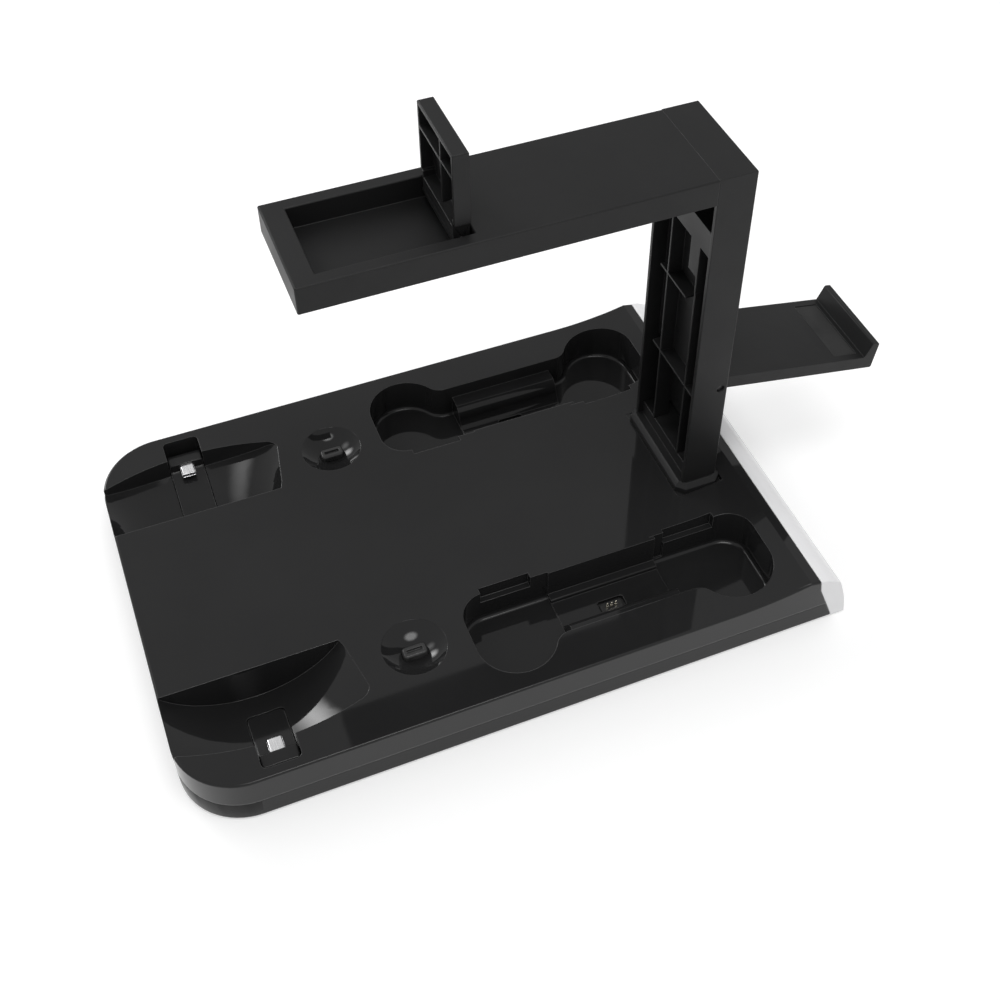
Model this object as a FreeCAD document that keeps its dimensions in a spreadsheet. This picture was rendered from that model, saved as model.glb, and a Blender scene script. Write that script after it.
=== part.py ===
import FreeCAD, Part
import math
import os
import Sketcher

# Charging dock for game controllers: a flat base with two cradles, two dishes and two wells, a square
# column with an overhead arm, a flap that folds into the arm and a rear bracket that folds into the column.
# All lengths are millimetres. X runs along the base towards the column, Z is up, the back is +Y.

SIZES = {
    # clearances and the reach of a cut or a joint past the face that it meets
    "overlap": 1,
    "snug_gap": 0.15,
    "loose_gap": 0.3,
    "running_gap": 0.05,
    # base case
    "base_half_length": 182.5,
    "base_half_depth": 120,
    "base_top": 32,
    "seam_height": 14,
    "seam_gap": 0.3,
    "corner_radius": 35,
    "edge_round": 1.2,
    "case_wall": 2.5,
    "rise_from_end": 73.5,
    "ridge_from_end": 26,
    "ridge_rise": 5.2,
    "rise_radius": 219,
    "ridge_end_from_end": 20.3,
    "ridge_end_rise": 3.9,
    "seam_low_from_end": 8.5,
    "seam_knee_from_end": 19.1,
    "seam_knee_drop": 4.5,
    # white end trim
    "trim_gap": 0.3,
    "shoulder_from_end": 6.9,
    "shoulder_drop": 2.6,
    "trim_crown_radius": 24,
    "trim_side_radius": 110,
    "trim_wall": 2.5,
    "trim_rib": 1.6,
    # wells
    "well_from_left": 159.7,
    "well_from_right": 35,
    "well_inner_from_back": 64,
    "well_floor": 10,
    "well_corner": 15,
    "well_outer_from_back": 24.5,
    "lobe_from_back": 31,
    "lobe_radius": 21.8,
    "neck_radius": 10,
    "well_fillet": 2.4,
    "tub_wall": 2,
    "shelf_left_near": 14.3,
    "shelf_left_far": 43.2,
    "shelf_right_far": 47,
    "shelf_right_near": 16.5,
    "shelf_reach": 3.5,
    "shelf_floor": 24,
    "bridge_from_left": 53.3,
    "bridge_from_right": 53,
    "bridge_wall_inset": 1,
    "notch_overlap": 2.8,
    "notch_reach": 1.2,
    "ledge_width": 6,
    "ledge_rise": 3.2,
    "ledge_round": 1,
    "bridge_step_rise": 2,
    "pin_plate_rise": 0.8,
    "ramp_start_inset": 17,
    "ramp_mid_inset": 12.9,
    "ramp_mid_rise": 4.8,
    "ramp_end_inset": 8,
    "ramp_rise": 12.4,
    "ramp_radius": 9,
    # contact pins
    "pins_off_middle": 1.2,
    "pins_from_inner": 18.3,
    "pin_pitch": 2.54,
    "pin_tip_radius": 0.55,
    "pin_radius": 0.8,
    "pin_foot_radius": 1.05,
    "pin_stand": 1.5,
    "pin_shank_drop": 0.4,
    "pin_edge": 0.3,
    "pin_foot_lift": 1.5,
    "pin_foot_height": 1.4,
    "pin_block_length": 13,
    "pin_block_width": 5.6,
    "pin_block_drop": 1.9,
    "pin_window_end_gap": 1.2,
    "pin_window_side_gap": 0.9,
    "pin_window_corner": 1.8,
    "pin_flange": 1.5,
    "pin_block_lift": 0.7,
    # cradles
    "cradle_from_left": 48,
    "cradle_inner_from_back": 64,
    "cradle_inner_half": 48,
    "cradle_inner_floor": 6.5,
    "cradle_outer_from_back": 18,
    "cradle_outer_half": 56,
    "cradle_outer_floor": 19,
    "cradle_run_out": 11.5,
    "rim_start_reach": 47,
    "rim_side_reach": 53.6,
    "rim_side_inset": 16,
    "rim_side_radius": 90,
    "rim_corner_reach": 47,
    "rim_corner_inset": 7.4,
    "rim_corner_radius": 8,
    "rim_arc_radius": 145,
    "rim_end_reach": 45.5,
    "rim_end_inset": 10,
    # tilting plug carriers
    "carrier_off_middle": 1.3,
    "carrier_half": 9.7,
    "carrier_gap": 0.45,
    "carrier_from_inner": 15,
    "carrier_strip_top": 11.2,
    "carrier_lift": 1.8,
    "carrier_neck_z": 19.4,
    "carrier_head_length": 8,
    "carrier_head_top": 25,
    "carrier_corner": 3,
    "carrier_back_corner": 1.5,
    "carrier_edge": 0.6,
    "slot_inner_gap": 1,
    "slot_outer_gap": 4.5,
    "slot_floor": 6.2,
    "slot_rest_half": 4.85,
    "slot_rest_reach": 4,
    "carrier_pin_inset": 2,
    "carrier_pin_rise": 4,
    "carrier_pin_radius": 1,
    "carrier_pin_reach": 1.9,
    "pin_end_gap": 0.2,
    # plugs in the carriers
    "plug_width": 8.4,
    "plug_height": 2.6,
    "plug_flat": 0.1,
    "plug_reach": 7.8,
    "plug_seat": 4,
    "plug_axis_drop": 2.6,
    "plug_wall": 0.35,
    "plug_hollow_depth": 6.4,
    "plug_tongue_gap": 0.55,
    "plug_tongue_height": 0.7,
    "plug_tongue_inset": 1.2,
    # dishes
    "dish_from_left": 130.4,
    "dish_from_back": 45.3,
    "dish_depth": 7,
    "dish_sphere_radius": 24.9,
    "dish_tub_radius": 19.6,
    "dish_block_length": 13.4,
    "dish_block_width": 7,
    "dish_block_drop": 2.8,
    "dish_block_height": 12.2,
    "dish_flange": 1.5,
    "dish_corner": 2.2,
    "dish_edge": 0.8,
    "dish_slot_length": 8.4,
    "dish_slot_width": 2,
    "dish_slot_depth": 1.5,
    # column and its foot
    "column_from_right": 58.6,
    "column_thickness": 20.3,
    "column_half": 31,
    "foot_height": 6.4,
    "column_length": 212,
    "column_wall": 2.4,
    "column_edge": 0.6,
    "recess_web": 2,
    "recess_behind_pin": 5,
    "recess_wall": 3.5,
    "recess_below_pin": 5.1,
    "recess_end_gap": 2.8,
    "lip_pocket_wall": 1.8,
    "lip_pocket_gap": 1,
    "lip_box_set_back": 0.7,
    "lip_box_wall": 1.6,
    "catch_back_y": 9.6,
    "catch_front_y": 19.1,
    "catch_height": 20.1,
    "catch_strip": 1.2,
    "catch_strip_height": 10.1,
    "rib_set_back": 1.1,
    "rib_thickness": 1.2,
    "long_rib_start": 12,
    "long_rib_back_y": 11.4,
    "long_rib_front_y": 18.3,
    "cross_rib_low_lift": 66.2,
    "cross_rib_low_back": 20.7,
    "cross_rib_low_front": 26.3,
    "cross_rib_high_lift": 122.6,
    "cross_rib_high_back": 19.6,
    "cross_rib_high_front": 9.6,
    "foot_left_margin": 4,
    "foot_right_margin": 3.2,
    "foot_side_margin": 3.5,
    "foot_corner": 4.5,
    "foot_chamfer": 2.6,
    "foot_locator_inset": 3,
    "foot_locator_height": 9,
    "foot_locator_gap": 0.3,
    "foot_screw_inset": 7.1,
    "foot_screw_y": 16,
    "foot_screw_length": 16,
    "seat_gap": 0.3,
    # arm with its tray
    "arm_length": 202.6,
    "arm_thickness": 15.1,
    "arm_edge": 0.6,
    "tray_end_wall": 11.1,
    "tray_length": 73.3,
    "tray_side_wall": 7,
    "tray_floor_thickness": 3.1,
    "tray_edge": 0.5,
    "hollow_left_wall": 4.8,
    "hollow_right_wall": 2.9,
    "hollow_side_wall": 2.6,
    "hollow_roof": 2.4,
    "cover_thickness": 2.8,
    "cover_gap": 0.3,
    "cover_screw_left_inset": 9.5,
    "cover_screw_right_inset": 11,
    "cover_screw_side_inset": 8.4,
    "cover_screw_length": 10,
    "tongue_end_gap": 4.2,
    "tongue_side_gap": 6,
    "tongue_thickness": 9.6,
    "tongue_drop": 2.8,
    # flap
    "flap_pin_inset": 5.1,
    "flap_pin_drop": 4.9,
    "flap_pin_radius": 1.5,
    "flap_pin_reach": 2.4,
    "flap_barrel_radius": 4.2,
    "flap_face_reach": 3.7,
    "flap_length": 47.4,
    "flap_side_gap": 1.4,
    "flap_neck_inset": 2,
    "flap_neck_height": 9.5,
    "flap_wall": 1.8,
    "flap_rib_height": 34.5,
    "flap_rib_y": 6.6,
    "flap_rib_half": 0.6,
    "flap_edge": 0.6,
    # rear bracket, drawn along its own slope
    "bracket_pin_inset": 4.2,
    "bracket_pin_lift": 69.6,
    "bracket_pin_radius": 2,
    "bracket_pin_sink": 1.4,
    "bracket_slope": 11.3,
    "bracket_side_gap": 0.9,
    "bracket_upper": 3.95,
    "bracket_lower": 4,
    "bracket_length": 103.2,
    "lip_root_inset": 7.4,
    "lip_top_inner_inset": 5.1,
    "lip_top_outer_inset": 1,
    "lip_end_gap": 0.5,
    "bracket_lip_round": 1,
    "pad_start_inset": 25.2,
    "pad_end_inset": 10.6,
    "pad_side_margin": 4.6,
    "bracket_pad_depth": 0.8,
    "bracket_pad_rise": 0.5,
    # screws, feet, boards, inlet
    "screw_radius": 1.5,
    "screw_head_radius": 2.9,
    "screw_head_height": 1.8,
    "screw_cross_reach": 2,
    "screw_cross_half": 0.4,
    "screw_cross_depth": 1,
    "screw_seat": 1,
    "case_screw_length": 16,
    "screws_from_left": 22.5,
    "screws_middle_from_left": 116.5,
    "screws_from_right": 82.5,
    "screw_row_y": 38,
    "corner_screw_from_right": 28,
    "corner_screw_from_back": 14,
    "boss_radius": 3.6,
    "case_floor": 3.3,
    "case_bottom": 0.8,
    "rubber_radius": 8,
    "rubber_thickness": 1.8,
    "rubber_recess": 1,
    "rubber_from_end": 32.5,
    "rubber_from_back": 28,
    "board_from_left": 136.5,
    "board_length": 130,
    "board_half": 27,
    "board_lift": 3.7,
    "board_thickness": 1.6,
    "board_post_inset": 10,
    "board_post_side_inset": 6,
    "board_post_radius": 3,
    "board_screw_length": 6.2,
    "inlet_from_left": 142.5,
    "inlet_width": 9.2,
    "inlet_height": 3.4,
    "inlet_depth": 7.6,
    "inlet_axis_z": 8.2,
    "inlet_shell": 0.4,
    "inlet_flat": 0.2,
    "inlet_set_back": 0.6,
    "inlet_back_wall": 1.2,
    "inlet_tongue_half": 3.3,
    "inlet_tongue_thickness": 0.7,
    "inlet_tongue_inset": 1.5,
    "inlet_board_width": 15,
    "inlet_board_depth": 13,
    "inlet_board_thickness": 1.2,
    "inlet_post_x": 5,
    "inlet_post_half": 2,
    # distance from the middle of the base to the middle of the whole length
    "centre_offset": 30.24,
}

# chips on the main board: distance from its left edge, place across it, length, width and height
CHIPS = [
    (46, 0, 9, 9, 1.2),
    (70, 8, 6, 5, 1.5),
    (70, -8, 6, 5, 1.5),
    (22, 0, 7, 7, 3),
    (96, 14, 8, 6, 4),
    (96, -14, 8, 6, 4),
]

doc = FreeCAD.newDocument("ChargingDock")
sheet = doc.addObject("Spreadsheet::Sheet", "Sizes")
for row, (name, number) in enumerate(SIZES.items(), start=1):
    sheet.set(f"A{row}", name)
    sheet.set(f"B{row}", str(number))
    sheet.setAlias(f"B{row}", name)
doc.recompute()


class Size:
    """A length that knows its value and the cell formula it comes from."""

    def __init__(self, value, text):
        self.value = float(value)
        self.text = text

    def __add__(self, other):
        other = size(other)
        return Size(self.value + other.value, f"({self.text} + {other.text})")

    def __sub__(self, other):
        other = size(other)
        return Size(self.value - other.value, f"({self.text} - {other.text})")

    def __mul__(self, other):
        other = size(other)
        return Size(self.value * other.value, f"({self.text} * {other.text})")

    def __truediv__(self, other):
        other = size(other)
        return Size(self.value / other.value, f"({self.text} / {other.text})")

    def __neg__(self):
        return Size(-self.value, f"(0 - {self.text})")


def size(thing):
    """Turn a plain number into a Size; a Size is passed through."""
    if isinstance(thing, Size):
        return thing
    return Size(thing, f"({thing})")


class Sizes:
    """All named sizes, one attribute each."""


z = Sizes()
for name in SIZES:
    setattr(z, name, Size(sheet.get(name), "Sizes." + name))

# Places that follow from the sizes
z.rise_start = z.base_half_length - z.rise_from_end
z.ridge_x = z.base_half_length - z.ridge_from_end
z.ridge_top = z.base_top + z.ridge_rise
z.ridge_end_x = z.base_half_length - z.ridge_end_from_end
z.ridge_end_top = z.base_top + z.ridge_end_rise
z.end_seam_low_x = z.base_half_length - z.seam_low_from_end
z.end_seam_knee_x = z.base_half_length - z.seam_knee_from_end
z.end_seam_knee_z = z.base_top - z.seam_knee_drop
seam_lean = (z.end_seam_low_x - z.end_seam_knee_x) / (z.end_seam_knee_z - z.case_bottom)
z.end_seam_mid_x = z.end_seam_low_x - seam_lean * (z.seam_height + z.seam_gap / 2 - z.case_bottom)
z.trim_shoulder_x = z.base_half_length - z.shoulder_from_end
z.trim_shoulder_z = z.base_top - z.shoulder_drop
z.well_left = z.well_from_left - z.base_half_length
z.well_right = z.base_half_length - z.well_from_right
z.well_inner = z.base_half_depth - z.well_inner_from_back
z.well_outer = z.base_half_depth - z.well_outer_from_back
z.lobe_centre = z.base_half_depth - z.lobe_from_back
z.shelf_left_start = z.well_left + z.shelf_left_near
z.shelf_left_end = z.well_left + z.shelf_left_far
z.shelf_right_start = z.well_right - z.shelf_right_far
z.shelf_right_end = z.well_right - z.shelf_right_near
z.shelf_inner = z.well_inner - z.shelf_reach
z.bridge_left = z.well_left + z.bridge_from_left
z.bridge_right = z.well_right - z.bridge_from_right
z.bridge_wall = z.well_inner + z.bridge_wall_inset
z.bridge_step_left = z.bridge_right - z.notch_overlap
z.bridge_step_right = z.shelf_right_start
z.bridge_step_inner = z.well_inner - z.notch_reach
z.ledge_outer = z.well_inner + z.ledge_width
z.ledge_top = z.well_floor + z.ledge_rise
z.pin_plate_top = z.well_floor + z.pin_plate_rise
z.ramp_start = z.well_outer - z.ramp_start_inset
z.ramp_mid = z.well_outer - z.ramp_mid_inset
z.ramp_mid_top = z.pin_plate_top + z.ramp_mid_rise
z.ramp_end = z.well_outer - z.ramp_end_inset
z.ramp_top = z.pin_plate_top + z.ramp_rise
z.pin_row_x = (z.bridge_left + z.bridge_right) / 2 - z.pins_off_middle
z.pin_row_y = z.well_inner + z.pins_from_inner
z.pin_tip = z.pin_plate_top + z.pin_stand
z.pin_step = z.pin_plate_top - z.pin_shank_drop
z.pin_bottom = z.case_floor + z.pin_foot_lift
z.pin_foot_top = z.pin_bottom + z.pin_foot_height
z.pin_block_top = z.pin_plate_top - z.pin_block_drop
z.pin_window_length = z.pin_block_length + z.pin_window_end_gap * 2
z.pin_window_width = z.pin_block_width + z.pin_window_side_gap * 2
z.pin_block_bottom = z.case_floor + z.pin_block_lift
z.cradle_centre = z.cradle_from_left - z.base_half_length
z.cradle_inner = z.base_half_depth - z.cradle_inner_from_back
z.cradle_inner_depth = z.base_top - z.cradle_inner_floor
z.cradle_outer = z.base_half_depth - z.cradle_outer_from_back
z.cradle_outer_depth = z.base_top - z.cradle_outer_floor
z.cradle_open = -z.base_half_length - z.cradle_run_out
z.rim_start_x = z.cradle_centre + z.rim_start_reach
z.rim_side_x = z.cradle_centre + z.rim_side_reach
z.rim_side_y = z.cradle_outer - z.rim_side_inset
z.rim_corner_x = z.cradle_centre + z.rim_corner_reach
z.rim_corner_y = z.cradle_outer - z.rim_corner_inset
z.rim_end_x = z.cradle_centre - z.rim_end_reach
z.rim_end_y = z.cradle_outer - z.rim_end_inset
z.carrier_centre = z.cradle_centre + z.carrier_off_middle
z.carrier_inner = z.cradle_inner + z.carrier_from_inner
z.carrier_bottom = z.slot_floor + z.carrier_lift
z.carrier_head_inner = z.cradle_outer
z.carrier_head_outer = z.carrier_head_inner + z.carrier_head_length
z.slot_inner = z.carrier_inner - z.slot_inner_gap
z.slot_outer = z.carrier_head_outer + z.slot_outer_gap
z.carrier_pin_y = z.carrier_head_inner + z.carrier_pin_inset
z.carrier_pin_z = z.carrier_bottom + z.carrier_pin_rise
z.carrier_pin_half = z.carrier_half + z.carrier_pin_reach
z.plug_corner = z.plug_height / 2 - z.plug_flat
z.plug_tip = z.carrier_head_inner - z.plug_reach
z.plug_root = z.carrier_head_inner + z.plug_seat
z.plug_axis_z = z.carrier_head_top - z.plug_axis_drop
z.plug_hollow_width = z.plug_width - z.plug_wall * 2
z.plug_hollow_height = z.plug_height - z.plug_wall * 2
z.plug_tongue_width = z.plug_hollow_width - z.plug_tongue_gap * 2
z.dish_x = z.dish_from_left - z.base_half_length
z.dish_y = z.base_half_depth - z.dish_from_back
z.dish_block_top = z.base_top - z.dish_block_drop
z.dish_block_bottom = z.dish_block_top - z.dish_block_height
z.column_left = z.base_half_length - z.column_from_right
z.column_right = z.column_left + z.column_thickness
z.column_bottom = z.base_top + z.foot_height
z.column_top = z.column_bottom + z.column_length
z.bracket_pin_x = z.column_right - z.bracket_pin_inset
z.bracket_pin_z = z.column_bottom + z.bracket_pin_lift
z.recess_floor = z.bracket_pin_x - z.recess_behind_pin
z.channel_floor = z.recess_floor - z.recess_web
z.recess_half = z.column_half - z.recess_wall
z.recess_bottom = z.bracket_pin_z - z.recess_below_pin
z.recess_top = z.bracket_pin_z + z.bracket_length + z.recess_end_gap
z.bracket_half = z.recess_half - z.bracket_side_gap
z.bracket_pin_half = z.column_half - z.bracket_pin_sink
z.bracket_lip_inner = z.bracket_length - z.lip_root_inset
z.bracket_lip_top_inner = z.bracket_length - z.lip_top_inner_inset
z.bracket_lip_top_outer = z.bracket_length - z.lip_top_outer_inset
z.lip_pocket_floor = z.column_left + z.lip_pocket_wall
z.lip_pocket_bottom = z.bracket_pin_z + z.bracket_lip_inner - z.lip_pocket_gap
z.lip_box_left = z.column_left + z.lip_box_set_back
z.lip_box_bottom = z.lip_pocket_bottom - z.lip_box_wall
z.bracket_lip_height = z.bracket_pin_x - z.lip_pocket_floor - z.lip_end_gap
z.bracket_pad_start = z.bracket_length - z.pad_start_inset
z.bracket_pad_end = z.bracket_length - z.pad_end_inset
z.bracket_pad_half = z.bracket_half - z.pad_side_margin
z.catch_bottom = z.lip_box_bottom - z.catch_height
z.catch_strip_bottom = z.catch_bottom - z.catch_strip_height
z.rib_edge = z.column_left + z.rib_set_back
z.cross_rib_low = z.column_bottom + z.cross_rib_low_lift
z.cross_rib_high = z.column_bottom + z.cross_rib_high_lift
z.foot_left = z.column_left - z.foot_left_margin
z.foot_right = z.column_right + z.foot_right_margin
z.foot_half = z.column_half + z.foot_side_margin
z.foot_screw_x = z.column_left + z.foot_screw_inset
z.arm_left = z.column_left - z.arm_length
z.arm_bottom = z.column_top - z.arm_thickness
z.tray_left = z.arm_left + z.tray_end_wall
z.tray_right = z.tray_left + z.tray_length
z.tray_half = z.column_half - z.tray_side_wall
z.tray_floor = z.arm_bottom + z.tray_floor_thickness
z.hollow_left = z.tray_right + z.hollow_left_wall
z.hollow_right = z.column_left - z.hollow_right_wall
z.hollow_half = z.column_half - z.hollow_side_wall
z.hollow_top = z.column_top - z.hollow_roof
z.cover_screw_left = z.hollow_left + z.cover_screw_left_inset
z.cover_screw_right = z.hollow_right - z.cover_screw_right_inset
z.cover_screw_y = z.hollow_half - z.cover_screw_side_inset
z.tongue_end = z.column_right - z.tongue_end_gap
z.tongue_half = z.column_half - z.tongue_side_gap
z.tongue_top = z.column_top - z.tongue_drop
z.tongue_bottom = z.tongue_top - z.tongue_thickness
z.flap_pin_x = z.tray_right - z.flap_pin_inset
z.flap_pin_z = z.column_top - z.flap_pin_drop
z.flap_pin_half = z.tray_half + z.flap_pin_reach
z.flap_face_left = z.flap_pin_x - z.flap_face_reach
z.flap_face_right = z.flap_pin_x + z.flap_barrel_radius
z.flap_top = z.flap_pin_z + z.flap_length
z.flap_half = z.tray_half - z.flap_side_gap
z.flap_neck_half = z.flap_half - z.flap_neck_inset
z.flap_neck_top = z.flap_pin_z + z.flap_neck_height
z.flap_rib_z = z.flap_pin_z + z.flap_rib_height
z.screw_row_left = z.screws_from_left - z.base_half_length
z.screw_row_middle = z.screws_middle_from_left - z.base_half_length
z.screw_row_right = z.base_half_length - z.screws_from_right
z.corner_screw_x = z.base_half_length - z.corner_screw_from_right
z.corner_screw_y = z.base_half_depth - z.corner_screw_from_back
z.boss_top = z.base_top - z.tub_wall
z.rubber_x = z.base_half_length - z.rubber_from_end
z.rubber_y = z.base_half_depth - z.rubber_from_back
z.board_left = z.board_from_left - z.base_half_length
z.board_right = z.board_left + z.board_length
z.board_bottom = z.case_floor + z.board_lift
z.board_post_left = z.board_left + z.board_post_inset
z.board_post_right = z.board_right - z.board_post_inset
z.board_post_y = z.board_half - z.board_post_side_inset
z.inlet_x = z.inlet_from_left - z.base_half_length
z.inlet_round = z.inlet_height / 2 - z.inlet_flat


def vec(x, y, height=0):
    return FreeCAD.Vector(size(x).value, size(y).value, size(height).value)


def new_body(name):
    body = doc.addObject("PartDesign::Body", name)
    body.Label = name
    return body


def new_sketch(body, plane, name, lift=0):
    """Sketch on one of the body's own planes, moved along the plane's normal."""
    support = [item for item in body.Origin.OriginFeatures if item.Role == plane][0]
    sketch = body.newObject("Sketcher::SketchObject", name)
    sketch.AttachmentSupport = [(support, "")]
    sketch.MapMode = "FlatFace"
    sketch.setExpression("AttachmentOffset.Base.z", size(lift).text)
    return sketch


def hold(sketch, geometry, point, x, y):
    """Fix a sketch point by its distances from the sketch origin."""
    for kind, length in (("DistanceX", size(x)), ("DistanceY", size(y))):
        rule = Sketcher.Constraint(kind, -1, 1, geometry, point, length.value)
        index = sketch.addConstraint(rule)
        sketch.setExpression(f"Constraints[{index}]", length.text)


def limit_radius(sketch, geometry, radius):
    index = sketch.addConstraint(Sketcher.Constraint("Radius", geometry, size(radius).value))
    sketch.setExpression(f"Constraints[{index}]", size(radius).text)


def draw_arc(sketch, start, end, radius):
    """Arc from start to end. A positive radius bends to the left, a negative one to the right."""
    chord = end - start
    side = FreeCAD.Vector(-chord.y, chord.x, 0).normalize()
    rise = math.sqrt(max(radius * radius - chord.Length ** 2 / 4, 0))
    middle = (start + end) * 0.5 + side * math.copysign(rise, radius)
    first, second = (start, end) if radius > 0 else (end, start)
    angles = [math.atan2(p.y - middle.y, p.x - middle.x) for p in (first, second)]
    circle = Part.Circle(middle, FreeCAD.Vector(0, 0, 1), abs(radius))
    sketch.addGeometry(Part.ArcOfCircle(circle, angles[0], angles[1]), False)


def outline(sketch, corners):
    """Closed outline. A corner is (x, y), or (x, y, r) when an arc of radius r leads to the next one."""
    first = sketch.GeometryCount
    count = len(corners)
    ends = []
    for number, corner in enumerate(corners):
        following = corners[(number + 1) % count]
        start = vec(corner[0], corner[1])
        end = vec(following[0], following[1])
        if len(corner) == 2:
            sketch.addGeometry(Part.LineSegment(start, end), False)
            ends.append((1, 2))
        else:
            radius = size(corner[2]).value
            draw_arc(sketch, start, end, radius)
            ends.append((1, 2) if radius > 0 else (2, 1))
    for number in range(count):
        after = (number + 1) % count
        joint = ("Coincident", first + number, ends[number][1], first + after, ends[after][0])
        sketch.addConstraint(Sketcher.Constraint(*joint))
    for number, corner in enumerate(corners):
        hold(sketch, first + number, ends[number][0], corner[0], corner[1])
        if len(corner) == 3:
            radius = size(corner[2])
            limit_radius(sketch, first + number, radius if radius.value > 0 else -radius)


def box_outline(sketch, left, low, right, high):
    outline(sketch, [(left, low), (right, low), (right, high), (left, high)])


def disc(sketch, x, y, radius):
    index = sketch.addGeometry(Part.Circle(vec(x, y), FreeCAD.Vector(0, 0, 1), size(radius).value), False)
    limit_radius(sketch, index, radius)
    hold(sketch, index, 3, x, y)


def pad(body, sketch, length, both_ways=False, backwards=False):
    feature = body.newObject("PartDesign::Pad", sketch.Name + "_pad")
    feature.Profile = sketch
    feature.setExpression("Length", size(length).text)
    if both_ways:
        feature.SideType = "Symmetric"
    feature.Reversed = backwards
    return feature


def pocket(body, sketch, depth, both_ways=False, backwards=False):
    feature = body.newObject("PartDesign::Pocket", sketch.Name + "_cut")
    feature.Profile = sketch
    feature.setExpression("Length", size(depth).text)
    if both_ways:
        feature.SideType = "Symmetric"
    feature.Reversed = backwards
    return feature


def box_pad(body, name, left, right, near, far, low, high):
    """Block between six named faces, added to the body."""
    sketch = new_sketch(body, "XY_Plane", name, low)
    box_outline(sketch, left, near, right, far)
    return pad(body, sketch, size(high) - low)


def block_pad(body, name, x, y, length, width, low, high):
    """Block centred on a place, added to the body."""
    return box_pad(body, name, x - length / 2, x + length / 2, y - width / 2, y + width / 2, low, high)


def box_cut(body, name, left, right, near, far, low, high):
    """Block between six named faces, taken out of the body."""
    sketch = new_sketch(body, "XY_Plane", name, high)
    box_outline(sketch, left, near, right, far)
    return pocket(body, sketch, size(high) - low)


def disc_cut(body, name, x, y, radius, low, high):
    sketch = new_sketch(body, "XY_Plane", name, high)
    disc(sketch, x, y, radius)
    return pocket(body, sketch, size(high) - low)


def cylinder(name, x, y, low, radius, height):
    """Upright round bar that stands on the height low."""
    bar = doc.addObject("Part::Cylinder", name)
    for path, length in (
        ("Radius", radius),
        ("Height", height),
        ("Placement.Base.x", x),
        ("Placement.Base.y", y),
        ("Placement.Base.z", low),
    ):
        bar.setExpression(path, size(length).text)
    return bar


# Reach within which two heights or two places count as the same
SAME = 0.01


def edges_where(shape, wanted):
    return [f"Edge{number}" for number, edge in enumerate(shape.Edges, start=1) if wanted(edge)]


def upright(edge):
    box = edge.BoundBox
    return box.ZLength > SAME and box.XLength < SAME and box.YLength < SAME


def at_height(edge, height):
    box = edge.BoundBox
    return abs(box.ZMin - size(height).value) < SAME and abs(box.ZMax - size(height).value) < SAME


def round_edges(body, wanted, radius, kind="PartDesign::Fillet"):
    """Fillet or chamfer the edges of the body's last feature that the test picks out."""
    doc.recompute()
    last = body.Tip
    feature = body.newObject(kind, last.Name + "_edge")
    feature.Base = (last, edges_where(last.Shape, wanted))
    feature.setExpression("Radius" if kind.endswith("Fillet") else "Size", size(radius).text)
    return feature


def mirror_of(source, name):
    """The same piece on the other side of the middle plane."""
    twin = doc.addObject("Part::Mirroring", name)
    twin.Source = source
    twin.Normal = FreeCAD.Vector(0, 1, 0)
    twin.Label = name
    return twin


def copies_of(source, name, places):
    """One node that holds a copy of a small piece at each place."""
    doc.recompute()
    group = doc.addObject("Part::Feature", name)
    group.Label = name
    group.Shape = Part.makeCompound([source.Shape.translated(place) for place in places])
    return group


def screw_body(name, length):
    """Pan-head screw, head down, shank up, drawn round its own axis."""
    body = new_body(name)
    profile = new_sketch(body, "XZ_Plane", name + "_profile")
    outline(profile, [
        (0, 0),
        (z.screw_head_radius, 0),
        (z.screw_head_radius, z.screw_head_height),
        (z.screw_radius, z.screw_head_height),
        (z.screw_radius, length),
        (0, length),
    ])
    turn = body.newObject("PartDesign::Revolution", name + "_turn")
    turn.Profile = profile
    turn.ReferenceAxis = (profile, ["V_Axis"])
    turn.Angle = 360
    reach = z.screw_cross_reach
    half = z.screw_cross_half
    box_cut(body, name + "_slot", -reach, reach, -half, half, 0, z.screw_cross_depth)
    box_cut(body, name + "_slot_across", -half, half, -reach, reach, 0, z.screw_cross_depth)
    return body


def case_outline(sketch, inset, right):
    """Plan outline of the base, rounded at its left corners and set in by the inset."""
    reach_x = z.base_half_length - inset
    reach_y = z.base_half_depth - inset
    corner = z.corner_radius - inset
    outline(sketch, [
        (corner - reach_x, -reach_y),
        (right, -reach_y),
        (right, reach_y),
        (corner - reach_x, reach_y, corner),
        (-reach_x, reach_y - corner),
        (-reach_x, corner - reach_y, corner),
    ])


wall_y = z.base_half_depth - z.case_wall
above = z.ridge_top + z.overlap
parts = []

# Upper shell of the base

top_low = z.seam_height + z.seam_gap / 2
shell = new_body("upper_shell_plate")
side = new_sketch(shell, "XZ_Plane", "upper_side")
outline(side, [
    (-z.base_half_length, top_low),
    (z.end_seam_mid_x, top_low),
    (z.end_seam_knee_x, z.end_seam_knee_z),
    (z.ridge_end_x, z.ridge_end_top),
    (z.ridge_x, z.ridge_top, -z.rise_radius),
    (z.rise_start, z.base_top),
    (-z.base_half_length, z.base_top),
])
pad(shell, side, z.base_half_depth * 2, both_ways=True)
round_edges(shell, lambda e: upright(e) and e.BoundBox.XMax < 0, z.corner_radius)
round_edges(
    shell,
    lambda e: e.BoundBox.ZMin > z.base_top.value - SAME and e.BoundBox.XMax < z.ridge_end_x.value + 0.1
    and e.BoundBox.YLength < z.base_half_depth.value * 1.5,
    z.edge_round,
)
inside = new_sketch(shell, "XY_Plane", "upper_inside", top_low)
inside_right = z.end_seam_knee_x - z.case_wall
case_outline(inside, z.case_wall, inside_right)
pocket(shell, inside, z.base_top - z.case_wall - top_low, backwards=True)


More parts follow.
